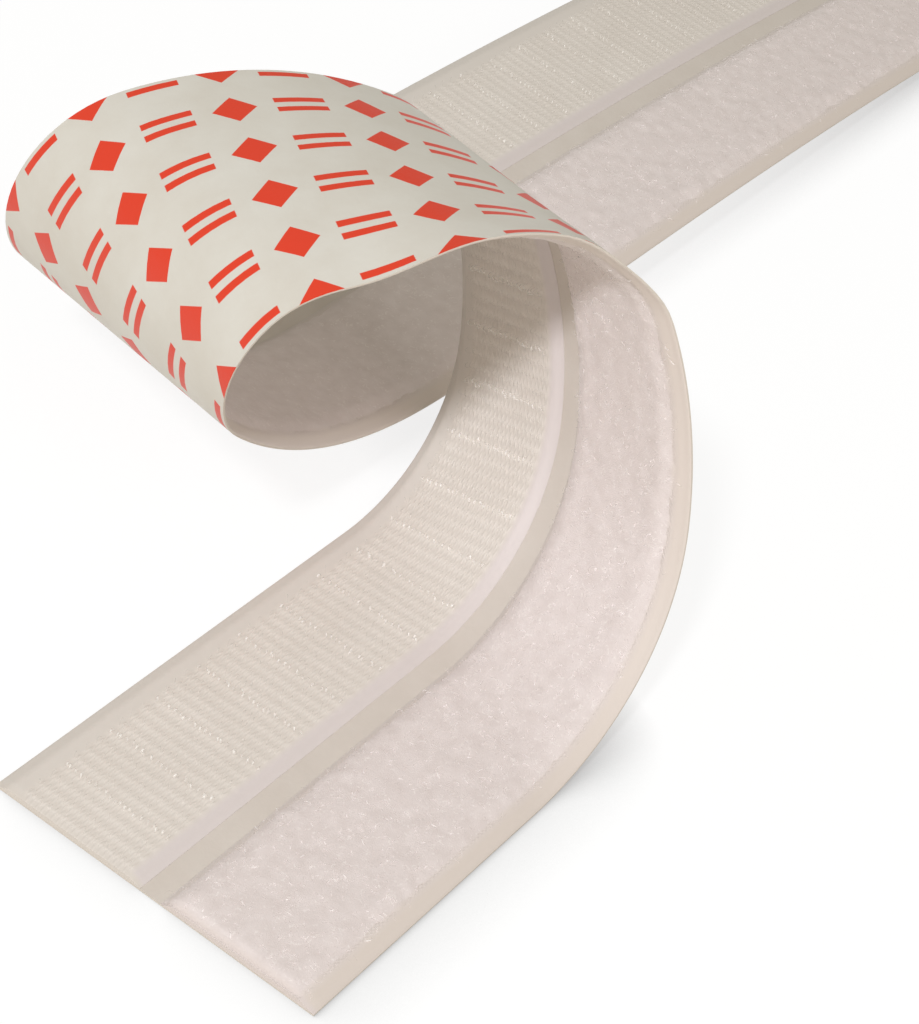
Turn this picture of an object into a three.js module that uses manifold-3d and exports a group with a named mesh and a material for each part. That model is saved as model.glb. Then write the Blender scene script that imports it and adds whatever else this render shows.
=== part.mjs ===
// A cut length of self-adhesive hook-and-loop tape: a hook lane and a loop lane side by side on one
// release liner, curled once over itself with the liner on the outside.
//
// Millimetres, +Z up, standing on the table at z = 0. Every layer is modelled on the flat tape, with x
// along it from the near end, y across it (the hook lane on the + side) and h up from the table, and is
// then bent along the curl.

import * as THREE from "three";
import { mergeVertices } from "three/addons/utils/BufferGeometryUtils.js";
import Module from "manifold-3d";

const wasm = await Module();
wasm.setup();

// Across the tape.
const tapeWidth = 20.9;
const laneGap = 3;
const linerMargin = 0.1;

// The selvedges, which carry no hooks or loops.
const hookSelvedge = { inner: 2.2, outer: 3.4 };
const pileSelvedge = { inner: 1.1, outer: 2.1 };

// Through the tape, from the liner up.
const linerThickness = 0.2;
const adhesiveThickness = 0.25;
const groundThickness = 0.5;
const layerGap = 0.05;

// The woven ground thins out towards its edges, more gently on the outer side.
const innerTaper = { width: 0.4, drop: 0.2 };
const outerTaper = { width: 1.6, drop: 0.35 };

// Hooks stand in rows across their lane, rooted in the woven ground. A hook leans forward to its crest and
// comes down to its point; the throat is the corner under the crest. Heights are above the ground, and
// reaches are from the back of the root.
const rowPitch = 1.875;
const hookRoot = 0.25;
const hookCrest = { reach: 0.27, height: 1 };
const hookPoint = { reach: 0.8, height: 0.5 };
const hookThroat = { reach: 0.38, height: 0.5 };

// The pile of loops is a soft bed with rounded shoulders, which stops a little short of a cut.
const pileHeight = 1.5;
const pileShoulder = 1.3;
const pileInset = 0.25;

// Along the tape: the near end that peels off the liner, the flat that is left before the curl, and the
// tail past the curl.
const peelLength = 36;
const peelGap = 0.3;
const leadIn = 15;
const farTail = 165;

// The curl, stretch by stretch: its length, how far it turns (degrees), and how far the fold lines have
// swung from square across the tape where it ends (degrees). They start at firstSlant.
const firstSlant = 26;
const curl = {
  rise: { length: 37.5, turn: 75, slant: 17 },
  side: { length: 24, turn: 25.5, slant: 15.5 },
  shoulder: { length: 9.5, turn: 46, slant: 17 },
  crown: { length: 34, turn: 41, slant: 18 },
  leftTurn: { length: 34, turn: 113, slant: 21.5 },
  underside: { length: 42, turn: 43.5, slant: -22 },
};

// The near end points this far from +X (degrees), so that the curl's axis lies along Y.
const heading = 17.5;

// Facets: the most that one step may turn (degrees) along the tape and across a row of hooks, its longest
// and shortest length, and the steps in a rounded shoulder.
const turnStep = 6;
const rowTurnStep = 15;
const longestStep = 15;
const shortestStep = 0.3;
const shoulderSteps = 3;

// Heights of the layers.
const adhesiveBase = linerThickness + layerGap;
const adhesiveTop = adhesiveBase + adhesiveThickness;
const groundBase = adhesiveTop + layerGap;
const groundMiddle = groundBase + groundThickness / 2;
const groundTop = groundBase + groundThickness;
const pileTop = groundTop + pileHeight;

// The lanes, and the field of hooks or loops between each lane's two selvedges.
const hookLane = { low: laneGap / 2, high: laneGap / 2 + tapeWidth };
const loopLane = { low: -hookLane.high, high: -hookLane.low };
const hookField = { low: hookLane.low + hookSelvedge.inner, high: hookLane.high - hookSelvedge.outer };
const pileField = { low: loopLane.low + pileSelvedge.outer, high: loopLane.high - pileSelvedge.inner };
const linerHalf = hookLane.high + linerMargin;

// The whole run of the tape. The far tail sags until its end meets the table.
function stretches(sag) {
  return [
    { length: peelLength, turn: 0, slant: 0 },
    { length: leadIn, turn: 0, slant: firstSlant },
    ...Object.values(curl),
    { length: farTail, turn: -sag, slant: 0 },
  ];
}

// The fold lines of the run. Each holds where it crosses the centre line, its slant (along per across)
// and the directions of the tape there. From one to the next the tape turns about the line between them.
function foldLines(sag) {
  const centre = new THREE.Vector3();
  const along = new THREE.Vector3(1, 0, 0);
  const up = new THREE.Vector3(0, 0, 1);
  let distance = 0;
  let slant = 0;
  const across = () => new THREE.Vector3().crossVectors(up, along);
  const here = () => ({
    distance,
    slant,
    centre: centre.clone(),
    ruling: across().addScaledVector(along, slant),
    up: up.clone(),
  });
  const folds = [here()];
  for (const stretch of stretches(sag)) {
    const steps = Math.ceil(Math.max(Math.abs(stretch.turn) / turnStep, stretch.length / longestStep));
    const slantStep = (Math.tan(THREE.MathUtils.degToRad(stretch.slant)) - slant) / steps;
    for (let step = 0; step < steps; step++) {
      const axis = across().addScaledVector(along, slant + slantStep / 2);
      const halfTurn = -(THREE.MathUtils.degToRad(stretch.turn) * axis.length()) / steps / 2;
      axis.normalize();
      along.applyAxisAngle(axis, halfTurn);
      centre.addScaledVector(along, stretch.length / steps);
      along.applyAxisAngle(axis, halfTurn);
      up.applyAxisAngle(axis, 2 * halfTurn);
      distance += stretch.length / steps;
      slant += slantStep;
      folds.push(here());
    }
  }
  return folds;
}

function onFold({ centre, ruling, up }, y, h) {
  return centre.clone().addScaledVector(ruling, y).addScaledVector(up, h);
}

const alongAt = (fold, y) => fold.distance + y * fold.slant;

function lowestFarCorner(sag) {
  const end = foldLines(sag).at(-1);
  return Math.min(onFold(end, linerHalf, 0).z, onFold(end, -linerHalf, 0).z);
}

const steepestSag = 45;
const sagTolerance = 0.001;
let sag = -steepestSag;
for (let change = steepestSag; change > sagTolerance; change /= 2) {
  if (lowestFarCorner(sag + change) > 0) sag += change;
}
const folds = foldLines(sag);
const tapeLength = folds.at(-1).distance;

// The two fold lines beside a point of the flat tape.
function foldsBeside(x, y) {
  let next = 1;
  while (next < folds.length - 1 && x > alongAt(folds[next], y)) next++;
  return [folds[next - 1], folds[next]];
}

// A point of the flat tape, carried to its place on the curl.
function bend(x, y, h) {
  const [before, after] = foldsBeside(x, y);
  const share = (x - alongAt(before, y)) / (alongAt(after, y) - alongAt(before, y));
  return onFold(before, y, h).lerp(onFold(after, y, h), share);
}

// A flat extrusion bent along the curl. place gives the flat x, y and h of each of its points.
function bent(extrusion, place) {
  const points = extrusion.getAttribute("position");
  for (let i = 0; i < points.count; i++) {
    const [x, y, h] = place(points.getX(i), points.getY(i), points.getZ(i));
    points.setXYZ(i, ...bend(x, y, h));
  }
  extrusion.deleteAttribute("normal");
  extrusion.deleteAttribute("uv");
  return mergeVertices(extrusion);
}

// A section across the tape, run along it between two square cuts, with a step on every fold line.
function runAlong(section, from, to) {
  const inside = ({ distance }) => distance > from + shortestStep && distance < to - shortestStep;
  const cuts = [{ distance: from, slant: 0 }, ...folds.filter(inside), { distance: to, slant: 0 }];
  const steps = cuts.length - 1;
  const extrusion = new THREE.ExtrudeGeometry(section, {
    depth: steps,
    steps,
    bevelEnabled: false,
    curveSegments: shoulderSteps,
  });
  return bent(extrusion, (across, height, step) => [alongAt(cuts[Math.round(step)], across), across, height]);
}

// A side profile of the tape at x, run across a field, in more steps where the curl turns it.
function runAcross(profile, x, field) {
  const [from, to] = [field.low, field.high].map((y) => foldsBeside(x, y)[0].up);
  const turn = THREE.MathUtils.radToDeg(from.angleTo(to));
  const extrusion = new THREE.ExtrudeGeometry(profile, {
    depth: field.high - field.low,
    steps: Math.max(1, Math.ceil(turn / rowTurnStep)),
    bevelEnabled: false,
  });
  return bent(extrusion, (along, height, inward) => [along, field.high - inward, height]);
}

// A flat layer between two heights. Its top has a line along the tape at each of the given places across
// it, so that its facets lie under those of the layers that rest on it.
function layerSection(lines, base, top) {
  const under = [lines[0], lines.at(-1)].map((y) => new THREE.Vector2(y, base));
  const over = lines.map((y) => new THREE.Vector2(y, top));
  return new THREE.Shape([...under, ...over.reverse()]);
}

// The woven ground, thinned along both edges.
function groundSection({ low, high }, lowTaper, highTaper) {
  const corners = [
    [low, groundBase],
    [high, groundBase],
    [high, groundTop - highTaper.drop],
    [high - highTaper.width, groundTop],
    [low + lowTaper.width, groundTop],
    [low, groundTop - lowTaper.drop],
  ];
  return new THREE.Shape(corners.map(([y, h]) => new THREE.Vector2(y, h)));
}

function pileSection({ low, high }) {
  const section = new THREE.Shape();
  section.moveTo(low, groundMiddle);
  section.lineTo(high, groundMiddle);
  section.lineTo(high, groundTop);
  section.quadraticCurveTo(high, pileTop, high - pileShoulder, pileTop);
  section.lineTo(low + pileShoulder, pileTop);
  section.quadraticCurveTo(low, pileTop, low, groundTop);
  return section;
}

// A row of hooks at x, seen from the side: up the back of the stem, over to the point, and down the throat.
function hookProfile(x, facing) {
  const sunk = groundMiddle - groundTop;
  const outline = [
    { reach: 0, height: sunk },
    hookCrest,
    hookPoint,
    hookThroat,
    { reach: hookRoot, height: sunk },
  ];
  const along = (reach) => x + facing * (reach - hookPoint.reach / 2);
  return new THREE.Shape(
    outline.map(({ reach, height }) => new THREE.Vector2(along(reach), groundTop + height)),
  );
}

// Rows face the two ends of the tape by turns.
function hookRows(from, to) {
  const rows = [];
  for (let row = Math.ceil(from / rowPitch); row < Math.floor(to / rowPitch); row++) {
    const x = (row + 0.5) * rowPitch;
    rows.push(runAcross(hookProfile(x, row % 2 ? 1 : -1), x, hookField));
  }
  return rows;
}

function solidOf(geometry) {
  const vertProperties = geometry.getAttribute("position").array;
  const triVerts = new Uint32Array(geometry.index.array);
  return new wasm.Manifold(new wasm.Mesh({ numProp: 3, vertProperties, triVerts }));
}

function joined(pieces) {
  const { vertProperties, triVerts } = wasm.Manifold.union(pieces.map(solidOf)).getMesh();
  const geometry = new THREE.BufferGeometry();
  geometry.setAttribute("position", new THREE.BufferAttribute(vertProperties, 3));
  geometry.setIndex(new THREE.BufferAttribute(triVerts, 1));
  return geometry;
}

const finishes = {
  liner: { color: 0xdcd7cf, roughness: 0.55 },
  hook: { color: 0xd9cfc7, roughness: 0.6 },
  loop: { color: 0xe0d5d1, roughness: 0.95 },
  adhesive: { color: 0xd9cdb8, roughness: 0.25 },
};

const tape = new THREE.Group();

function addPiece(name, geometry, finish) {
  const material = new THREE.MeshStandardMaterial({ ...finishes[finish], metalness: 0 });
  const mesh = new THREE.Mesh(geometry, material);
  mesh.name = name;
  tape.add(mesh);
}

function addLiner(name, from, to) {
  const lines = [-linerHalf, loopLane.low, loopLane.high, hookLane.low, hookLane.high, linerHalf];
  addPiece(name, runAlong(layerSection(lines, 0, linerThickness), from, to), "liner");
}

function addAdhesive(name, lane, from, to) {
  const section = layerSection([lane.low, lane.high], adhesiveBase, adhesiveTop);
  addPiece(name, runAlong(section, from, to), "adhesive");
}

function addHookTape(name, from, to) {
  const ground = runAlong(groundSection(hookLane, innerTaper, outerTaper), from, to);
  addPiece(name, joined([ground, ...hookRows(from, to)]), "hook");
}

function addLoopTape(name, from, to) {
  const ground = runAlong(groundSection(loopLane, outerTaper, innerTaper), from, to);
  const pile = runAlong(pileSection(pileField), from + pileInset, to - pileInset);
  addPiece(name, joined([ground, pile]), "loop");
}

addLiner("release_liner", 0, tapeLength);

// Each lane is parted at the peel line into the run that stays down and the end that lifts.
const run = [peelLength + peelGap / 2, tapeLength];
const end = [0, peelLength - peelGap / 2];
addAdhesive("hook_adhesive", hookLane, ...run);
addHookTape("hook_tape", ...run);
addAdhesive("hook_end_adhesive", hookLane, ...end);
addHookTape("hook_end", ...end);
addAdhesive("loop_adhesive", loopLane, ...run);
addLoopTape("loop_tape", ...run);
addAdhesive("loop_end_adhesive", loopLane, ...end);
addLoopTape("loop_end", ...end);

// The origin is on the table, under the middle of the part.
tape.rotation.z = THREE.MathUtils.degToRad(heading);
const box = new THREE.Box3().setFromObject(tape, true);
const middle = box.getCenter(new THREE.Vector3());
tape.position.set(-middle.x, -middle.y, -box.min.z);

export default tape;
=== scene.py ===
import math
import bpy
import numpy as np
from mathutils import Matrix, Quaternion, Vector, noise


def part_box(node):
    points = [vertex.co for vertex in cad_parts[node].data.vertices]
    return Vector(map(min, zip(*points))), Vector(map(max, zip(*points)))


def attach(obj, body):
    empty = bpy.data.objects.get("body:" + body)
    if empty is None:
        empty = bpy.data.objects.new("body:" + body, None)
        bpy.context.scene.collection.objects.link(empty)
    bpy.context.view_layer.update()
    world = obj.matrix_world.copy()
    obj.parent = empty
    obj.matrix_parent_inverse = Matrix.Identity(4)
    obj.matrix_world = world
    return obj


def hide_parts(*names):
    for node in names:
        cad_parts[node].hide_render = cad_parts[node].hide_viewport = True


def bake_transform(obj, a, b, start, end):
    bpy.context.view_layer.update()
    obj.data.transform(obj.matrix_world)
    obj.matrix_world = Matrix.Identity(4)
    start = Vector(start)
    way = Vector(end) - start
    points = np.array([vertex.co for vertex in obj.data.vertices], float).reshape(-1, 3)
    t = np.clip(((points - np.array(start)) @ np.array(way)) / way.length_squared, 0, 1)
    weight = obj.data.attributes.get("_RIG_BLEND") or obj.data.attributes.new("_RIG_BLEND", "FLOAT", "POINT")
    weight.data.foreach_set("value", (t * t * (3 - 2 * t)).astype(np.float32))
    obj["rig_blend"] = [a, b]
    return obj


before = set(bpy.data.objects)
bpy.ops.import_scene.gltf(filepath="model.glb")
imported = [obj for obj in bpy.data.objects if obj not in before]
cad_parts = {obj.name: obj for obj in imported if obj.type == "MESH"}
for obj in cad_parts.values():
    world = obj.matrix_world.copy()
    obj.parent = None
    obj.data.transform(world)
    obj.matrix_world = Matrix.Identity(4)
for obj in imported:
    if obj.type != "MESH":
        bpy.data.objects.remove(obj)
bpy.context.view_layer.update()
print("frame loaded:", ", ".join(sorted(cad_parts)))

mm = 0.001

# The layers are made on the flat tape, as on the loom: x along it from the near cut, y across it with the
# hooks on the + side, z up from the table. Each is then carried onto the curl.
tape = {
    "laneWidth": 20.9 * mm,
    "laneGap": 3 * mm,
    "linerMargin": 0.1 * mm,
    "linerThick": 0.2 * mm,
    "filmThick": 0.33 * mm,
    "webThick": 0.5 * mm,
    "layerGap": 0.01 * mm,
    "heading": math.radians(17.5),  # of the near end, from +X
    "foldStep": 0.5 * mm,
    "peelFold": 10 * mm,  # how much of a lifted end bends
}

# Length, turn, and the slant of the fold lines from square across where each stretch ends, in degrees.
stretches = {
    "peelEnd": {"length": 36 * mm, "turn": 0, "slant": 0},
    "leadIn": {"length": 15 * mm, "turn": 0, "slant": 26},
    "rise": {"length": 37.5 * mm, "turn": 75, "slant": 17},
    "side": {"length": 24 * mm, "turn": 25.5, "slant": 15.5},
    "shoulder": {"length": 9.5 * mm, "turn": 46, "slant": 17},
    "crown": {"length": 34 * mm, "turn": 41, "slant": 18},
    "leftTurn": {"length": 34 * mm, "turn": 113, "slant": 21.5},
    "underside": {"length": 42 * mm, "turn": 43.5, "slant": -22},
    "farTail": {"length": 165 * mm, "turn": -6.84, "slant": 0},
}

tapeLength = sum(stretch["length"] for stretch in stretches.values())
peelLine = stretches["peelEnd"]["length"]
hookLane = (tape["laneGap"] / 2, tape["laneGap"] / 2 + tape["laneWidth"])
loopLane = (-hookLane[1], -hookLane[0])
linerLane = (loopLane[0] - tape["linerMargin"], hookLane[1] + tape["linerMargin"])
filmBase = tape["linerThick"] + tape["layerGap"]
filmTop = filmBase + tape["filmThick"]
webTop = filmTop + tape["layerGap"] + tape["webThick"]


# One row for each fold line: its distance, slant, centre, direction across and direction up.
def foldLines():
    centre = Vector((0, 0, 0))
    along = Vector((1, 0, 0))
    up = Vector((0, 0, 1))
    distance = 0.0
    slant = 0.0
    lines = []

    def noteLine():
        lines.append([distance, slant, *centre, *(up.cross(along) + along * slant), *up])

    noteLine()
    for stretch in stretches.values():
        steps = round(stretch["length"] / tape["foldStep"])
        slantStep = (math.tan(math.radians(stretch["slant"])) - slant) / steps
        for step in range(steps):
            axis = up.cross(along) + along * (slant + slantStep / 2)
            halfTurn = -math.radians(stretch["turn"]) * axis.length / steps / 2
            half = Quaternion(axis.normalized(), halfTurn)
            along.rotate(half)
            centre += along * (stretch["length"] / steps)
            along.rotate(half)
            up.rotate(half @ half)
            distance += stretch["length"] / steps
            slant += slantStep
            noteLine()
    return np.array(lines)


folds = foldLines()
correctionRounds = 40


# Flat points carried onto the curl, each along the fold line that it lies on.
def carried(flat):
    along, across, height = flat.T
    distance = along
    for _ in range(correctionRounds):
        distance = along - across * np.interp(distance, folds[:, 0], folds[:, 1])
    columns = [np.interp(distance, folds[:, 0], column) for column in folds[:, 2:].T]
    centre, ruling, up = (np.stack(columns[k:k + 3], axis=1) for k in (0, 3, 6))
    past = distance - np.clip(distance, 0, tapeLength)  # what overhangs a cut goes straight on
    beyond = np.cross(ruling, up) * past[:, None]
    curled = centre + beyond + ruling * across[:, None] + up * height[:, None]
    return curled @ np.array(Matrix.Rotation(tape["heading"], 3, "Z")).T


# Where the CAD liner lies settles where the whole tape lies.
linerEdges = np.array([[line[0], y, 0] for line in folds for y in linerLane])
tapeShift = np.array(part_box("release_liner")[0]) - carried(linerEdges).min(axis=0)


# The loop edge stands out from the crown and dips after it, as stiff paper does where it is bent hard.
edgeWaves = [
    {"out": 2.8 * mm, "along": 124.8 * mm, "before": 14 * mm, "after": 23.4 * mm},
    {"out": -1.2 * mm, "along": 146 * mm, "before": 13 * mm, "after": 13 * mm},
]


def edgeWave(along, across):
    out = np.zeros(len(along))
    for wave in edgeWaves:
        reach = np.where(along < wave["along"], wave["before"], wave["after"])
        share = np.clip((along - wave["along"]) / reach, -1, 1)
        out += wave["out"] * (0.5 + 0.5 * np.cos(math.pi * share))
    return out * np.clip((across + hookLane[0]) / (linerLane[0] + hookLane[0]), 0, 1) ** 2


def placed(flat):
    waved = np.array(flat, float)
    waved[:, 2] -= edgeWave(waved[:, 0], waved[:, 1])
    return carried(waved) + tapeShift


def readPoints(piece):
    points = np.zeros(len(piece.data.vertices) * 3)
    piece.data.vertices.foreach_get("co", points)
    return points.reshape(-1, 3)


def writePoints(piece, points):
    piece.data.vertices.foreach_set("co", points.astype(np.float32).ravel())
    piece.data.update()


# The flat place of each point stays on the mesh, in millimetres, for the materials to follow.
def curlPiece(piece):
    flat = readPoints(piece)
    kept = piece.data.attributes.new("flatMm", "FLOAT_VECTOR", "POINT")
    kept.data.foreach_set("vector", (flat / mm).astype(np.float32).ravel())
    writePoints(piece, placed(flat))
    return flat


def pickOnly(piece):
    bpy.ops.object.select_all(action="DESELECT")
    piece.select_set(True)
    bpy.context.view_layer.objects.active = piece


def applyModifier(piece, kind, **values):
    pickOnly(piece)
    modifier = piece.modifiers.new(kind.title(), kind)
    for name, value in values.items():
        setattr(modifier, name, value)
    bpy.ops.object.modifier_apply(modifier=modifier.name)


def repeat(piece, count, step):
    applyModifier(
        piece, "ARRAY", count=count, use_relative_offset=False, use_constant_offset=True,
        constant_offset_displace=step,
    )


def namePiece(piece, name):
    piece.name = name
    piece.data.name = name


# A strip of the whole length: a grid with about the given steps, thickened downwards.
def flatStrip(name, lane, top, thick, stepAlong, stepAcross):
    bpy.ops.object.select_all(action="DESELECT")
    width = lane[1] - lane[0]
    bpy.ops.mesh.primitive_grid_add(
        x_subdivisions=round(tapeLength / stepAlong), y_subdivisions=round(width / stepAcross), size=1,
        location=(tapeLength / 2, sum(lane) / 2, top),
    )
    strip = bpy.context.object
    namePiece(strip, name)
    strip.scale = (tapeLength, width, 1)
    bpy.ops.object.transform_apply(location=True, rotation=False, scale=True)
    cutNearCorner(strip)
    applyModifier(strip, "SOLIDIFY", thickness=thick, offset=-1)
    return strip


# The near corner on the loop side is worn blunt through every layer.
nearCorner = {"along": 2.2 * mm, "across": 1.6 * mm}


def cutNearCorner(strip):
    pickOnly(strip)
    bpy.ops.object.mode_set(mode="EDIT")
    bpy.ops.mesh.select_all(action="SELECT")
    bpy.ops.mesh.bisect(
        plane_co=(nearCorner["along"], linerLane[0], 0),
        plane_no=(nearCorner["across"], nearCorner["along"], 0), clear_inner=True,
    )
    bpy.ops.object.mode_set(mode="OBJECT")


def smoothShade(piece, angle):
    pickOnly(piece)
    bpy.ops.object.shade_smooth_by_angle(angle=math.radians(angle))


# A lifted end bends in its last stretch before the peel line. The rest of the tape stays where it is.
def bendAtPeel(piece, flat, lane, lift):
    middle = sum(lane) / 2
    start, end = placed([[peelLine, middle, 0], [peelLine - tape["peelFold"], middle, 0]])
    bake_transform(piece, "tape", lift, start=start, end=end)
    weights = piece.data.attributes["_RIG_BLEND"].data
    shares = np.zeros(len(flat), np.float32)
    weights.foreach_get("value", shares)
    shares[flat[:, 0] > peelLine] = 0
    weights.foreach_set("value", shares)


def addNode(tree, kind, inputs=None, **settings):
    node = tree.nodes.new(kind)
    for name, value in settings.items():
        setattr(node, name, value)
    for socket, value in (inputs or {}).items():
        if isinstance(value, bpy.types.NodeSocket):
            tree.links.new(value, node.inputs[socket])
        else:
            node.inputs[socket].default_value = value
    return node


def maths(tree, operation, first, second=0.0):
    return addNode(tree, "ShaderNodeMath", {0: first, 1: second}, operation=operation).outputs[0]


def mixColours(tree, share, first, second):
    return addNode(tree, "ShaderNodeMix", {0: share, 6: first, 7: second}, data_type="RGBA").outputs[2]


def ramp(tree, value, low, high, toLow=0.0, toHigh=1.0):
    inputs = {"Value": value, "From Min": low, "From Max": high, "To Min": toLow, "To Max": toHigh}
    return addNode(tree, "ShaderNodeMapRange", inputs).outputs[0]


def flatPlace(tree):
    return addNode(tree, "ShaderNodeAttribute", attribute_name="flatMm").outputs["Vector"]


def rgb(red, green, blue):
    linear = [((c / 255 + 0.055) / 1.055) ** 2.4 for c in (red, green, blue)]
    return (*linear, 1)


def newMaterial(name, sockets):
    material = bpy.data.materials.new(name)
    material.use_nodes = True
    tree = material.node_tree
    shader = tree.nodes["Principled BSDF"]
    for socket, value in sockets.items():
        shader.inputs[socket].default_value = value
    return material, tree, shader


def addBump(tree, shader, height, depth):
    inputs = {"Height": height, "Strength": 1.0, "Distance": depth}
    bump = addNode(tree, "ShaderNodeBump", inputs)
    tree.links.new(bump.outputs["Normal"], shader.inputs["Normal"])


def newGroup(name, inputs, outputs):
    group = bpy.data.node_groups.new(name, "ShaderNodeTree")
    for socket, kind in inputs.items():
        group.interface.new_socket(socket, in_out="INPUT", socket_type="NodeSocket" + kind)
    for socket, kind in outputs.items():
        group.interface.new_socket(socket, in_out="OUTPUT", socket_type="NodeSocket" + kind)
    return group, group.nodes.new("NodeGroupInput").outputs, group.nodes.new("NodeGroupOutput").inputs


def useGroup(tree, group, inputs):
    return addNode(tree, "ShaderNodeGroup", inputs, node_tree=group).outputs


# Cloudy change between two colours, as in undyed yarn and in paper.
def makeMottle():
    sockets = {"Place": "Vector", "Scale": "Float", "Dark": "Color", "Light": "Color"}
    group, given, put = newGroup("mottle", sockets, {"Colour": "Color"})
    inputs = {"Vector": given["Place"], "Scale": given["Scale"], "Detail": 5, "Roughness": 0.6}
    cloud = addNode(group, "ShaderNodeTexNoise", inputs).outputs["Fac"]
    mixed = mixColours(group, ramp(group, cloud, 0.3, 0.7), given["Dark"], given["Light"])
    group.links.new(mixed, put["Colour"])
    return group


# Threads over and under each other, as a height. The two pitches are in millimetres.
def makeWeave():
    sockets = {"Place": "Vector", "Along": "Float", "Across": "Float"}
    group, given, put = newGroup("weave", sockets, {"Height": "Float"})
    split = addNode(group, "ShaderNodeSeparateXYZ", {0: given["Place"]}).outputs
    waves = []
    for axis, pitch in (("X", "Along"), ("Y", "Across")):
        turns = maths(group, "DIVIDE", split[axis], given[pitch])
        waves.append(maths(group, "SINE", maths(group, "MULTIPLY", turns, 2 * math.pi)))
    crossing = maths(group, "MULTIPLY", *waves)
    threads = maths(group, "ABSOLUTE", waves[1])
    group.links.new(maths(group, "ADD", crossing, threads), put["Height"])
    return group


softBands = {"selvedge": 0.4, "cut": (0.3, 0.9)}  # millimetres


# How far a place is inside a tape's inner or outer selvedge or its cut ends, from 0 to 1. Its field runs
# from Near to Far, in millimetres from the middle of the liner.
def makeSelvedge():
    sockets = {"Place": "Vector", "Near": "Float", "Far": "Float", "Length": "Float"}
    places = {"Inner": "Float", "Outer": "Float", "Cut": "Float"}
    group, given, put = newGroup("selvedge", sockets, places)
    split = addNode(group, "ShaderNodeSeparateXYZ", {0: given["Place"]}).outputs
    off = maths(group, "ABSOLUTE", split["Y"])
    soft = softBands["selvedge"]
    group.links.new(ramp(group, maths(group, "SUBTRACT", given["Near"], off), -soft, soft), put["Inner"])
    group.links.new(ramp(group, maths(group, "SUBTRACT", off, given["Far"]), -soft, soft), put["Outer"])
    fromCut = maths(group, "MINIMUM", split["X"], maths(group, "SUBTRACT", given["Length"], split["X"]))
    group.links.new(ramp(group, fromCut, *softBands["cut"], 1, 0), put["Cut"])
    return group


mottle = makeMottle()
weave = makeWeave()
selvedge = makeSelvedge()

# Release liner: coated paper, plain where the adhesive sits and printed on its back.
liner = {
    "step": 1.5 * mm,
    "faceLight": rgb(217, 209, 202),
    "faceDark": rgb(211, 202, 194),
    "backLight": rgb(221, 218, 211),
    "backDark": rgb(214, 209, 200),
    "rimLight": rgb(215, 206, 197),
    "rimDark": rgb(208, 199, 189),
    "fibreDepth": 0.03 * mm,
    "ink": rgb(226, 66, 42),
    "inkCellAlong": 16.0,  # millimetres from here on
    "inkCellAcross": 9.0,
    "diamond": 2.7,
    "dashLength": 6.2,
    "dashWidth": 1.1,
    "dashApart": 2.2,
}


def paper(name, dark, light):
    sockets = {"Roughness": 0.42, "Specular IOR Level": 0.35}
    material, tree, shader = newMaterial(name, sockets)
    place = flatPlace(tree)
    colour = useGroup(tree, mottle, {"Place": place, "Scale": 0.12, "Dark": dark, "Light": light})["Colour"]
    tree.links.new(colour, shader.inputs["Base Color"])
    fibres = addNode(tree, "ShaderNodeTexNoise", {"Vector": place, "Scale": 1.5, "Detail": 6}).outputs["Fac"]
    addBump(tree, shader, fibres, liner["fibreDepth"])
    return material, tree, shader, place, colour


# How far a point is inside a dash or a diamond, from 0 to 1 with a soft edge.
def insideInk(tree, distance, size):
    return ramp(tree, distance, size + 0.05, size - 0.05)


# Diamonds in straight lines along and across the tape, with a pair of dashes after each.
def inkMask(tree, place):
    split = addNode(tree, "ShaderNodeSeparateXYZ", {0: place}).outputs
    cells = []
    repeats = (("X", "inkCellAlong", 0), ("Y", "inkCellAcross", 0), ("X", "inkCellAlong", 0.5))
    for axis, size, start in repeats:
        turns = maths(tree, "ADD", maths(tree, "DIVIDE", split[axis], liner[size]), start)
        centred = maths(tree, "SUBTRACT", maths(tree, "FRACT", turns), 0.5)
        cells.append(maths(tree, "MULTIPLY", maths(tree, "ABSOLUTE", centred), liner[size]))
    alongDiamond, across, alongDash = cells
    diamond = insideInk(tree, maths(tree, "ADD", alongDiamond, across), liner["diamond"])
    dashLine = maths(tree, "ABSOLUTE", maths(tree, "SUBTRACT", across, liner["dashApart"] / 2))
    dashEnds = insideInk(tree, alongDash, liner["dashLength"] / 2)
    dash = maths(tree, "MULTIPLY", insideInk(tree, dashLine, liner["dashWidth"] / 2), dashEnds)
    return maths(tree, "MAXIMUM", diamond, dash)


def printedPaper():
    material, tree, shader, place, colour = paper("linerBack", liner["backDark"], liner["backLight"])
    inked = mixColours(tree, inkMask(tree, place), colour, liner["ink"])
    tree.links.new(inked, shader.inputs["Base Color"])
    return material


def makeLiner():
    thick = tape["linerThick"]
    sheet = flatStrip("liner_sheet", linerLane, thick, thick, liner["step"], liner["step"])
    sheet.data.materials.append(paper("linerFace", liner["faceDark"], liner["faceLight"])[0])
    sheet.data.materials.append(printedPaper())
    sheet.data.materials.append(paper("linerRim", liner["rimDark"], liner["rimLight"])[0])
    for face in sheet.data.polygons:
        face.material_index = 2 if abs(face.normal.z) < 0.5 else int(face.normal.z < 0)
    curlPiece(sheet)
    smoothShade(sheet, 40)
    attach(sheet, "tape")
    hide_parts("release_liner")


makeLiner()
print("liner made")

# Adhesive: a clear sticky film under each tape.
film = {
    "step": 1.5 * mm,
    "inset": 0.8 * mm,
    "dark": rgb(217, 208, 196),
    "light": rgb(226, 218, 207),
    "dimpleDepth": 0.12 * mm,
}


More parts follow.
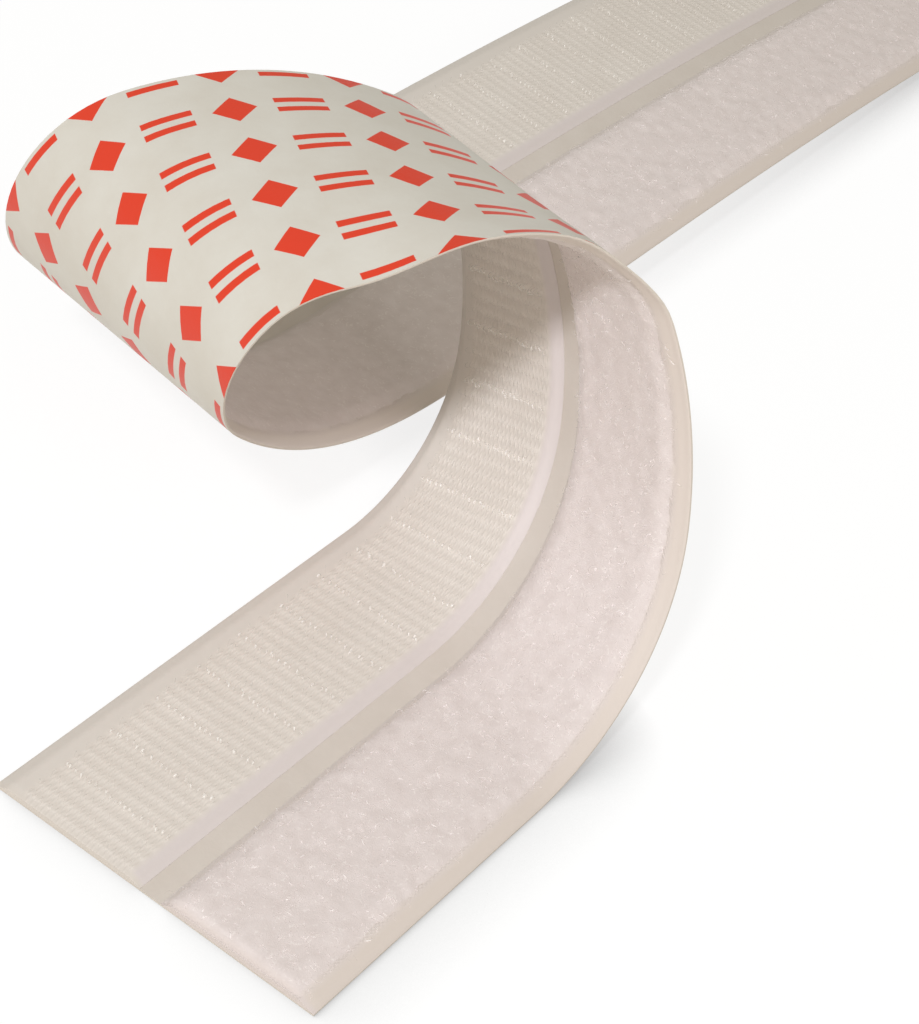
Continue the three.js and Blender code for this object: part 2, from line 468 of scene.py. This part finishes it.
def adhesiveFilm():
    sockets = {"Roughness": 0.18, "Specular IOR Level": 0.6, "Coat Weight": 0.3}
    material, tree, shader = newMaterial("adhesiveFilm", sockets)
    place = flatPlace(tree)
    inputs = {"Place": place, "Scale": 0.4, "Dark": film["dark"], "Light": film["light"]}
    tree.links.new(useGroup(tree, mottle, inputs)["Colour"], shader.inputs["Base Color"])
    dimples = addNode(tree, "ShaderNodeTexNoise", {"Vector": place, "Scale": 0.9, "Detail": 3}).outputs["Fac"]
    addBump(tree, shader, dimples, film["dimpleDepth"])
    return material


filmMaterial = adhesiveFilm()


def makeFilm(name, lane, lift, nodes):
    coated = (lane[0] + film["inset"], lane[1] - film["inset"])
    coatedLength = tapeLength - 2 * film["inset"]
    strip = flatStrip(name, coated, filmTop, tape["filmThick"], film["step"], film["step"] * 2)
    points = readPoints(strip)
    points[:, 0] = film["inset"] + points[:, 0] * coatedLength / tapeLength
    writePoints(strip, points)
    strip.data.materials.append(filmMaterial)
    flat = curlPiece(strip)
    smoothShade(strip, 40)
    bendAtPeel(strip, flat, lane, lift)
    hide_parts(*nodes)


makeFilm("hook_film", hookLane, "hook_lift", ["hook_adhesive", "hook_end_adhesive"])
makeFilm("loop_film", loopLane, "loop_lift", ["loop_adhesive", "loop_end_adhesive"])
print("adhesive films made")

# Both tapes: the web slopes off at its edges and cuts, and tucks down beside the film onto the liner.
edges = {
    "tuck": 0.5 * mm,
    "innerDrop": 0.79 * mm,
    "outerDrop": 0.7 * mm,
    "cutDrop": 0.2 * mm,
    "cutWidth": 0.6 * mm,
}


def edgeFall(distance, width, drop):
    share = 1 - np.clip(distance / width, 0, 1)
    return drop * share**2 * (3 - 2 * share)


def edgeDistances(along, across):
    off = np.abs(across)
    return off - hookLane[0], hookLane[1] - off, np.minimum(along, tapeLength - along)


def webFall(along, across, spec):
    inner, outer, cutEnd = edgeDistances(along, across)
    fall = edgeFall(inner, spec["innerEdge"], edges["innerDrop"])
    fall += edgeFall(outer, spec["outerEdge"], edges["outerDrop"])
    return np.minimum(fall + edgeFall(cutEnd, edges["cutWidth"], edges["cutDrop"]), edges["innerDrop"])


def shapeEdges(points, spec):
    along, across, height = points.T
    top = height > webTop - tape["webThick"] / 2
    points[top, 2] -= webFall(along[top], across[top], spec)
    atEdge = np.minimum.reduce(edgeDistances(along, across)) < edges["tuck"]
    points[~top & atEdge, 2] = filmBase
    outermost = ~top & (edgeDistances(along, across)[1] < tape["layerGap"])
    points[outermost, 1] += np.sign(across[outermost]) * tape["linerMargin"]
    return top


def inField(across, field, soft=0.5 * mm):
    edge = np.minimum(across - field[0], field[1] - across)
    return np.clip(edge / soft, 0, 1)


# The two woven tapes take the same steps, each with its own settings.
def makeWeb(name, lane, spec, material):
    strip = flatStrip(name, lane, webTop, tape["webThick"], spec["stepAlong"], spec["stepAcross"])
    points = readPoints(strip)
    top = shapeEdges(points, spec)
    if "ribHeight" in spec:
        along, across = points[top, 0], points[top, 1]
        ribs = np.cos(2 * math.pi * (along / spec["rowPitch"] - 0.5)) * 0.5 + 0.5
        points[top, 2] += spec["ribHeight"] * ribs * inField(across, spec["field"])
    writePoints(strip, points)
    strip.data.materials.append(material)
    flat = curlPiece(strip)
    smoothShade(strip, 60)
    return strip, flat


# The selvedges and cut ends painted over a colour. What they cover comes back as well.
def paintSelvedges(tree, place, colour, spec, pulledIn=0):
    near, far = sorted(abs(side) / mm for side in spec["field"])
    inputs = {"Place": place, "Near": near, "Far": far - pulledIn, "Length": tapeLength / mm}
    plain = useGroup(tree, selvedge, inputs)
    for side, paint in zip(("Inner", "Outer", "Cut"), spec["selvedgeColours"]):
        colour = mixColours(tree, plain[side], colour, paint)
    return colour, plain


# Woven yarn with a plainer selvedge on each side of its field.
def wovenYarn(name, spec):
    material, tree, shader = newMaterial(name, spec["ground"])
    place = flatPlace(tree)
    dark, light = spec["fieldColours"]
    colour = useGroup(tree, mottle, {"Place": place, "Scale": 0.1, "Dark": dark, "Light": light})["Colour"]
    # Painted shade between the rows of hooks, darkest in the valleys between the ribs.
    if "rowShadeColour" in spec:
        distance = addNode(tree, "ShaderNodeSeparateXYZ", {0: place}).outputs["X"]
        turns = maths(tree, "MULTIPLY", distance, 2 * math.pi * mm / spec["rowPitch"])
        rowShade = ramp(tree, maths(tree, "COSINE", turns), -1, 1, 0, spec["rowShadeShare"])
        colour = mixColours(tree, rowShade, colour, spec["rowShadeColour"])
    colour, plain = paintSelvedges(tree, place, colour, spec)
    tree.links.new(colour, shader.inputs["Base Color"])
    along, across = spec["threads"]
    threads = useGroup(tree, weave, {"Place": place, "Along": along, "Across": across})["Height"]
    smooth = ramp(tree, maths(tree, "MAXIMUM", plain["Inner"], plain["Outer"]), 0, 0.5, 1, 0)
    addBump(tree, shader, maths(tree, "MULTIPLY", threads, smooth), spec["threadDepth"])
    return material


# A fine wire drawn out step by step from a ring of points. Each step has a length and a turn in degrees.
def drawWire(sides, thick, foot, steps, startLean=0, sideways=0):
    bpy.ops.object.select_all(action="DESELECT")
    tip = Vector((0, 0, foot))
    bpy.ops.mesh.primitive_circle_add(vertices=sides, radius=thick / 2, fill_type="NGON", location=tip)
    wire = bpy.context.object
    bpy.ops.object.transform_apply(location=True, rotation=False, scale=False)
    bpy.ops.object.mode_set(mode="EDIT")
    bpy.ops.mesh.select_all(action="SELECT")
    lean = math.radians(startLean)
    for length, turn in steps:
        lean += math.radians(turn)
        bpy.ops.transform.rotate(value=-math.radians(turn), orient_axis="Y", center_override=tip)
        step = Vector((math.sin(lean), sideways, math.cos(lean))) * length
        bpy.ops.mesh.extrude_region_move(TRANSFORM_OT_translate={"value": step})
        tip += step
    bpy.ops.object.mode_set(mode="OBJECT")
    return wire


# Filament that is clear or solid by its tint.
def filament(name, spec):
    material, tree, shader = newMaterial(name, {"Roughness": 0.3, "Specular IOR Level": 0.5})
    tint = addNode(tree, "ShaderNodeAttribute", attribute_name="tint").outputs["Fac"]
    tree.links.new(mixColours(tree, tint, *spec["filamentColours"]), shader.inputs["Base Color"])
    tree.links.new(ramp(tree, tint, 0, 1, *spec["filamentSolid"]), shader.inputs["Alpha"])
    return material


# Each filament has its own tint, and is painted lighter and more solid where it turns over, as a painted
# highlight.
def paintTint(piece, tints, spec):
    sides = len(piece.data.vertices) // len(tints) // len(spec["paintedHighlight"])
    tint = piece.data.attributes.new("tint", "FLOAT", "POINT")
    everyPoint = np.outer(tints, np.repeat(spec["paintedHighlight"], sides)).ravel()
    tint.data.foreach_set("value", everyPoint.astype(np.float32))
    piece.visible_shadow = False  # clear filament lets the light through


# Hook tape: a ribbed woven web with smooth selvedges, and rows of cut monofilament hooks.
hooks = {
    "stepAlong": 0.625 * mm,
    "stepAcross": 0.4 * mm,
    "field": (3.2 * mm, 19.0 * mm),
    "innerEdge": 1.5 * mm,
    "outerEdge": 1.8 * mm,
    "ground": {"Roughness": 0.55, "Specular IOR Level": 0.35, "Sheen Weight": 0.15},
    "fieldColours": (rgb(225, 217, 210), rgb(233, 226, 220)),
    "selvedgeColours": (rgb(220, 211, 210), rgb(221, 214, 208), rgb(216, 208, 201)),  # inner, outer, cut
    "filamentColours": (rgb(232, 226, 220), rgb(254, 252, 249)),
    "filamentSolid": (0.02, 0.7),
    "paintedHighlight": (0, 0.1, 0.4, 1, 1, 0.5, 0.1),  # painted highlight along the wire, from root to tip
    "backTints": (0.2, 0.8),
    "forwardTints": (0, 0.1),
    "threads": (1.875, 0.75),  # millimetres along and across
    "threadDepth": 0.022 * mm,
    "rowShadeColour": rgb(219, 211, 204),  # painted shade between the rows
    "rowShadeShare": 0.6,
    "ribHeight": 0.15 * mm,
    "rowPitch": 1.875 * mm,
    "acrossPitch": 0.75 * mm,
    "wire": 0.15 * mm,
    "wireSides": 3,
    "backWider": 1.6,  # the wire of the rows that face back
    "turned": 0.35,  # radians, most hooks of a row, and how far they differ
    "turnedSpread": 0.25,
    "root": 0.15 * mm,
    "lengths": (0.7 * mm, 0.3 * mm, 0.25 * mm, 0.25 * mm, 0.25 * mm, 0.18 * mm),
    "bends": (0, 15, 35, 45, 45, 30),  # degrees before each length
    "reach": 0.7 * mm,
    "rowsForward": 3,
    "lean": 0.13,
    "stretch": 0.12,
}
dice = np.random.default_rng(11)


def copyOf(piece):
    pickOnly(piece)
    bpy.ops.object.duplicate()
    return bpy.context.object


# A hook goes straight up, bends over and ends above the ground. Three rows face forward and one faces back,
# over and over. The one that faces back is painted lighter and more solid, as a painted highlight.
def makeHookRows():
    steps = list(zip(hooks["lengths"], hooks["bends"]))
    hook = drawWire(hooks["wireSides"], hooks["wire"], webTop - hooks["root"], steps)
    pointsInHook = len(hook.data.vertices)
    width = hooks["field"][1] - hooks["field"][0]
    inRow = int(width / hooks["acrossPitch"])
    margin = (width - (inRow - 1) * hooks["acrossPitch"]) / 2
    hook.data.transform(Matrix.Translation((-hooks["reach"] / 2, 0, 0)))
    back = copyOf(hook)
    rows = hooks["rowsForward"]
    back.data.transform(Matrix.Rotation(math.pi, 4, "Z"))
    back.data.transform(Matrix.Scale(hooks["backWider"], 4, (0, 1, 0)))
    back.data.transform(Matrix.Translation((rows * hooks["rowPitch"], 0, 0)))
    repeat(hook, rows, (hooks["rowPitch"], 0, 0))
    pickOnly(hook)
    back.select_set(True)
    bpy.ops.object.join()
    repeat(hook, inRow, (0, hooks["acrossPitch"], 0))
    unit = (rows + 1) * hooks["rowPitch"]
    repeat(hook, round(tapeLength / unit), (unit, 0, 0))
    namePiece(hook, "hook_rows")
    hook.data.transform(Matrix.Translation((hooks["rowPitch"] / 2, hooks["field"][0] + margin, 0)))
    points = readPoints(hook).reshape(-1, pointsInHook, 3)
    count = len(points)
    roots = points[:, :hooks["wireSides"]].mean(axis=1, keepdims=True)
    turns = dice.normal(hooks["turned"], hooks["turnedSpread"], (count, 1))
    along, across, rise = np.moveaxis(points - roots, 2, 0)
    lean = dice.normal(0, hooks["lean"], (2, count, 1))
    points[..., 0] = roots[..., 0] + along * np.cos(turns) - across * np.sin(turns) + rise * lean[0]
    points[..., 1] = roots[..., 1] + along * np.sin(turns) + across * np.cos(turns) + rise * lean[1]
    points[..., 2] = roots[..., 2] + rise * (1 + dice.uniform(-1, 1, (count, 1)) * hooks["stretch"])
    writePoints(hook, points.reshape(-1, 3))
    facesBack = np.arange(count) % (rows + 1) == rows
    # The rows that face back take the higher tints: painted highlights.
    backTints, forwardTints = (dice.uniform(*hooks[side], count) for side in ("backTints", "forwardTints"))
    paintTint(hook, np.where(facesBack, backTints, forwardTints), hooks)
    hook.data.materials.append(filament("hookWire", hooks))
    flat = curlPiece(hook)
    smoothShade(hook, 70)
    print("hooks:", count)
    return hook, flat


def makeHookTape():
    strip, stripFlat = makeWeb("hook_web", hookLane, hooks, wovenYarn("hookGround", hooks))
    rows, rowsFlat = makeHookRows()
    bendAtPeel(strip, stripFlat, hookLane, "hook_lift")
    bendAtPeel(rows, rowsFlat, hookLane, "hook_lift")
    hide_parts("hook_tape", "hook_end")


makeHookTape()
print("hook tape made")

# Loop tape: a woven web with smooth selvedges, a soft bed of brushed yarn, and loose loops in it.
loops = {
    "stepAlong": 1.0 * mm,
    "stepAcross": 0.4 * mm,
    "field": (-20.7 * mm, -1.8 * mm),
    "innerEdge": 1.2 * mm,
    "outerEdge": 2.0 * mm,
    "ground": {"Roughness": 0.6, "Specular IOR Level": 0.3, "Sheen Weight": 0.15},
    "fieldColours": (rgb(219, 208, 204), rgb(226, 216, 212)),
    "selvedgeColours": (rgb(216, 208, 204), rgb(220, 209, 202), rgb(220, 209, 206)),  # inner, outer, cut
    "threads": (0.7, 0.5),  # millimetres along and across
    "threadDepth": 0.022 * mm,
    "bedColours": (rgb(222, 211, 209), rgb(232, 222, 221)),
    "filamentColours": (rgb(238, 229, 227), rgb(254, 251, 250)),
    "filamentSolid": (0.02, 0.45),
    "paintedHighlight": (0, 0.15, 0.6, 1, 1, 0.6, 0.15),  # painted highlight along the yarn, from root to tip
    "tintPower": 2.5,  # most loops are faint
    "curlHighlightColour": rgb(248, 241, 239),
    "curlCell": 1.0,  # millimetres, of which some hold a curl
    "curlShare": 0.5,
    "curlWander": 1.6,  # millimetres
    "curlRadii": (0.15, 0.5),  # in cells, as are the edges of its line
    "curlLine": (0.02, 0.1),
    "curlStrength": 0.6,
    "curlBreaks": (0.48, 0.6),
    "tangleDepth": 0.05 * mm,
    "bedStep": 0.6 * mm,
    "bedHeight": 0.65 * mm,
    "bedShoulders": (2.4 * mm, 2.6 * mm),  # outer and inner
    "bedOverhang": 1.0 * mm,
    "bedCutTaper": 0.9 * mm,
    "bedInset": 0.15 * mm,  # from the cuts
    "bedSunk": 0.1 * mm,
    "bedThins": 0.4,  # millimetres inside its outer edge, where the selvedge's colour starts
    "ragged": 0.8 * mm,
    "raggedPitches": (5 * mm, 1.3 * mm),
    "lumps": 0.13 * mm,
    "lumpPitches": (2.6 * mm, 1.1 * mm),
    "fineShare": 0.6,  # of the second pitch against the first
    "yarn": 0.09 * mm,
    "yarnSides": 3,
    "loopSteps": 6,
    "loopStep": 0.26 * mm,
    "loopTurn": 38,  # degrees a step
    "loopSideways": 0.25,  # of a step
    "tipped": 0.7,  # radians, how far the loops differ
    "perStretch": 5000,
    # Shares of the length. Inside the curl the nap is pressed flat.
    "naps": {"loop_nap_near": (0.003, 0.33), "loop_nap_far": (0.66, 0.997)},
    "sizes": (0.5, 1.3),
    "sunk": 0.35 * mm,
}


def raggedEdge(along, side):
    wide, fine = (along / pitch for pitch in loops["raggedPitches"])
    swing = noise.noise(Vector((wide, side * 9, 3)))
    swing += loops["fineShare"] * noise.noise(Vector((fine, side * 9, 8)))
    return loops["ragged"] * swing


def softRise(distance, shoulder):
    share = min(max(distance / shoulder, 0), 1)
    return share**2 * (3 - 2 * share)


def bedTop(along, across):
    low = loops["field"][0] + raggedEdge(along, 1)
    high = loops["field"][1] + raggedEdge(along, 2)
    outer, inner = loops["bedShoulders"]
    swell = min(softRise(across - low, outer), softRise(high - across, inner))
    swell *= softRise(min(along, tapeLength - along), loops["bedCutTaper"])
    wide, fine = (Vector((along, across, 0)) / pitch for pitch in loops["lumpPitches"])
    lump = noise.noise(wide) + loops["fineShare"] * noise.noise(fine)
    height = loops["bedHeight"] + loops["bedSunk"] + loops["lumps"] * lump
    return webTop - webFall(along, across, loops) - loops["bedSunk"] + swell * height


# Curls of yarn on the bed, painted bright as painted highlights: arcs of small rings, each of its own size.
def curlHighlightMask(tree, place):
    wander = addNode(tree, "ShaderNodeTexNoise", {"Vector": place, "Scale": 1.3}).outputs["Color"]
    inputs = {0: wander, 1: (loops["curlWander"], loops["curlWander"], 0), 2: place}
    bent = addNode(tree, "ShaderNodeVectorMath", inputs, operation="MULTIPLY_ADD").outputs[0]
    inputs = {"Vector": bent, "Scale": 1 / loops["curlCell"]}
    cells = addNode(tree, "ShaderNodeTexVoronoi", inputs, voronoi_dimensions="2D").outputs
    chance = addNode(tree, "ShaderNodeSeparateColor", {0: cells["Color"]}).outputs
    radius = ramp(tree, chance["Red"], 0, 1, *loops["curlRadii"])
    offRing = maths(tree, "ABSOLUTE", maths(tree, "SUBTRACT", cells["Distance"], radius))
    ring = ramp(tree, offRing, *loops["curlLine"], loops["curlStrength"], 0)
    shown = maths(tree, "LESS_THAN", chance["Green"], loops["curlShare"])
    breaks = addNode(tree, "ShaderNodeTexNoise", {"Vector": place, "Scale": 1.9}).outputs["Fac"]
    arc = maths(tree, "MULTIPLY", ring, ramp(tree, breaks, *loops["curlBreaks"]))
    return maths(tree, "MULTIPLY", arc, shown)


def loopBed():
    sockets = {"Roughness": 0.9, "Specular IOR Level": 0.2, "Sheen Weight": 0.3, "Sheen Roughness": 0.5}
    material, tree, shader = newMaterial("loopBed", sockets)
    place = flatPlace(tree)
    dark, light = loops["bedColours"]
    colour = useGroup(tree, mottle, {"Place": place, "Scale": 0.5, "Dark": dark, "Light": light})["Colour"]
    # The painted highlights of the curls go over the bed's colour.
    colour = mixColours(tree, curlHighlightMask(tree, place), colour, loops["curlHighlightColour"])
    colour, _ = paintSelvedges(tree, place, colour, loops, loops["bedThins"])
    tree.links.new(colour, shader.inputs["Base Color"])
    inputs = {"Vector": place, "Scale": 2.2, "Detail": 6, "Distortion": 2.5}
    tangle = addNode(tree, "ShaderNodeTexNoise", inputs).outputs["Fac"]
    addBump(tree, shader, tangle, loops["tangleDepth"])
    return material


def makeLoopBed():
    thick = loops["bedSunk"]
    low, high = loops["field"]
    lane = (low - loops["bedOverhang"], high + loops["bedOverhang"])
    bed = flatStrip("loop_bed", lane, webTop - thick, thick, loops["bedStep"], loops["bedStep"])
    points = readPoints(bed)
    points[:, 0] = np.clip(points[:, 0], loops["bedInset"], tapeLength - loops["bedInset"])
    top = points[:, 2] > webTop - thick * 1.5
    points[~top, 2] -= webFall(points[~top, 0], points[~top, 1], loops)
    points[top, 2] = [bedTop(along, across) for along, across in points[top, :2]]
    writePoints(bed, points)
    bed.data.materials.append(loopBed())
    flat = curlPiece(bed)
    smoothShade(bed, 80)
    return bed, flat


# One loop of yarn climbs, turns over and comes down beside its root.
def modelLoop():
    steps = [(loops["loopStep"], loops["loopTurn"])] * loops["loopSteps"]
    return drawWire(loops["yarnSides"], loops["yarn"], 0, steps, -loops["loopTurn"], loops["loopSideways"])


# Loops scattered over one stretch of the bed, each turned, tipped and sized by chance.
def scatterLoops(name, loop, start, end):
    count = loops["perStretch"]
    shape = readPoints(loop)
    faces = [list(face.vertices) for face in loop.data.polygons]
    low, high = loops["field"]
    copies = np.zeros((count, len(shape), 3))
    for copy in copies:
        along = dice.uniform(start, end)
        across = dice.uniform(low, high)
        size = dice.uniform(*loops["sizes"])
        turn = Matrix.Rotation(dice.uniform(0, 2 * math.pi), 3, "Z")
        tip = Matrix.Rotation(dice.normal(0, loops["tipped"]), 3, "X")
        root = (along, across, bedTop(along, across) - loops["sunk"] * size)
        copy[:] = shape * size @ np.array(turn @ tip).T + root
        copy[:, 2] = np.maximum(copy[:, 2], filmBase)  # none goes through the liner
    mesh = bpy.data.meshes.new(name)
    offsets = np.arange(count) * len(shape)
    allFaces = [[corner + offset for corner in face] for offset in offsets.tolist() for face in faces]
    mesh.from_pydata(copies.reshape(-1, 3).tolist(), [], allFaces)
    nap = bpy.data.objects.new(name, mesh)
    bpy.context.scene.collection.objects.link(nap)
    paintTint(nap, dice.random(count) ** loops["tintPower"], loops)
    flat = curlPiece(nap)
    smoothShade(nap, 80)
    return nap, flat


def makeLoopTape():
    made = [makeWeb("loop_web", loopLane, loops, wovenYarn("loopGround", loops)), makeLoopBed()]
    loop = modelLoop()
    yarn = filament("loopYarn", loops)
    for name, (start, end) in loops["naps"].items():
        made.append(scatterLoops(name, loop, start * tapeLength, end * tapeLength))
        made[-1][0].data.materials.append(yarn)
    bpy.data.objects.remove(loop)
    for piece, flat in made:
        if flat[:, 0].min() < peelLine:
            bendAtPeel(piece, flat, loopLane, "loop_lift")
        else:
            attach(piece, "tape")
    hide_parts("loop_tape", "loop_end")


makeLoopTape()
print("loop tape made")

# The camera stands above the near end, rolled a little.
camera = {
    "place": (-226.8 * mm, -213.7 * mm, 217.16 * mm),
    "yaw": 45.85,
    "pitch": 39.48,
    "roll": 12.82,
    "focalPixels": 2679.5,
    "pictureHeight": 1024,
    "sensor": 36,
}


def makeCamera():
    yaw, pitch, roll = (math.radians(camera[name]) for name in ("yaw", "pitch", "roll"))
    forward = Vector((math.cos(pitch) * math.cos(yaw), math.cos(pitch) * math.sin(yaw), -math.sin(pitch)))
    right = Vector((math.sin(yaw), -math.cos(yaw), 0))
    up = right.cross(forward)
    turnedRight = right * math.cos(roll) + up * math.sin(roll)
    turnedUp = up * math.cos(roll) - right * math.sin(roll)
    bpy.ops.object.camera_add(location=camera["place"])
    eye = bpy.context.object
    axes = Matrix((turnedRight, turnedUp, -forward)).transposed()
    eye.matrix_world = Matrix.Translation(camera["place"]) @ axes.to_4x4()
    eye.data.sensor_width = camera["sensor"]
    eye.data.lens = camera["focalPixels"] / camera["pictureHeight"] * camera["sensor"]
    eye.data.clip_start = 0.01
    bpy.context.scene.camera = eye


makeCamera()

# A white table in a bright room, with a key light and a weak fill.
studio = {
    "floorSize": 6.0,
    "floorDrop": 0.03 * mm,
    "floorPaint": (0.85, 0.81, 0.74, 1),
    "floorSeenPaint": (0.14, 0.14, 0.14, 1),
    "floorSeenGlow": 0.88,
    "contactReach": 8 * mm,
    "contactLean": (-0.41, 0.87, 0.26),  # towards the light side, so that the shade lies on the other
    "contactShade": 0.85,
    "roomColour": (1, 0.95, 0.8, 1),
    "room": 0.39,
    "lamps": {
        "key": {"place": (-0.723, -0.384, 0.878), "size": 0.14, "power": 8.1, "colour": (0.955, 0.966, 1)},
        "fill": {"place": (0, -0.919, 0.771), "size": 0.5, "power": 1.5, "colour": (1, 0.97, 0.93)},
    },
}


# The table's white is mostly glow where it is seen, so that the shadows on it are faint. Close beside the
# tape the glow dims, on the side away from the light.
def makeFloor():
    bpy.ops.mesh.primitive_plane_add(size=studio["floorSize"], location=(0, 0, -studio["floorDrop"]))
    floor = bpy.context.object
    floor.name = "table"
    material = bpy.data.materials.new("whiteTable")
    material.use_nodes = True
    tree = material.node_tree
    tree.nodes.remove(tree.nodes["Principled BSDF"])
    rays = addNode(tree, "ShaderNodeLightPath").outputs
    seen = maths(tree, "MAXIMUM", rays["Is Camera Ray"], rays["Is Glossy Ray"])
    seen = maths(tree, "MAXIMUM", seen, rays["Is Transmission Ray"])
    shade = mixColours(tree, seen, studio["floorPaint"], studio["floorSeenPaint"])
    paint = addNode(tree, "ShaderNodeBsdfDiffuse", {"Color": shade})
    x, y, z = studio["contactLean"]
    lean = addNode(tree, "ShaderNodeCombineXYZ", {"X": x, "Y": y, "Z": z}).outputs[0]
    inputs = {"Distance": studio["contactReach"], "Normal": lean}
    clear = addNode(tree, "ShaderNodeAmbientOcclusion", inputs, samples=12).outputs["AO"]
    full = studio["floorSeenGlow"]
    dimmed = ramp(tree, clear, 0, 1, full * (1 - studio["contactShade"]), full)
    glow = addNode(tree, "ShaderNodeEmission", {"Strength": maths(tree, "MULTIPLY", seen, dimmed)})
    both = addNode(tree, "ShaderNodeAddShader", {0: paint.outputs[0], 1: glow.outputs[0]})
    tree.links.new(both.outputs[0], tree.nodes["Material Output"].inputs["Surface"])
    floor.data.materials.append(material)


def makeRoom():
    world = bpy.data.worlds.new("room")
    bpy.context.scene.world = world
    world.use_nodes = True
    tree = world.node_tree
    rays = addNode(tree, "ShaderNodeLightPath").outputs
    seen = rays["Is Camera Ray"]
    strength = ramp(tree, seen, 0, 1, studio["room"], 1)
    tree.links.new(strength, tree.nodes["Background"].inputs["Strength"])
    colour = mixColours(tree, seen, studio["roomColour"], (1, 1, 1, 1))
    tree.links.new(colour, tree.nodes["Background"].inputs["Color"])


def makeLamp(name, spec):
    bpy.ops.object.light_add(type="AREA", location=spec["place"])
    lamp = bpy.context.object
    lamp.name = name
    lamp.data.shape = "DISK"
    lamp.data.size = spec["size"]
    lamp.data.energy = spec["power"]
    lamp.data.color = spec["colour"]
    lamp.rotation_mode = "QUATERNION"
    lamp.rotation_quaternion = Vector(spec["place"]).to_track_quat("Z", "Y")


makeFloor()
makeRoom()
for lampName, lampSpec in studio["lamps"].items():
    makeLamp(lampName, lampSpec)
bpy.context.scene.view_settings.view_transform = "Standard"
print("stage set")
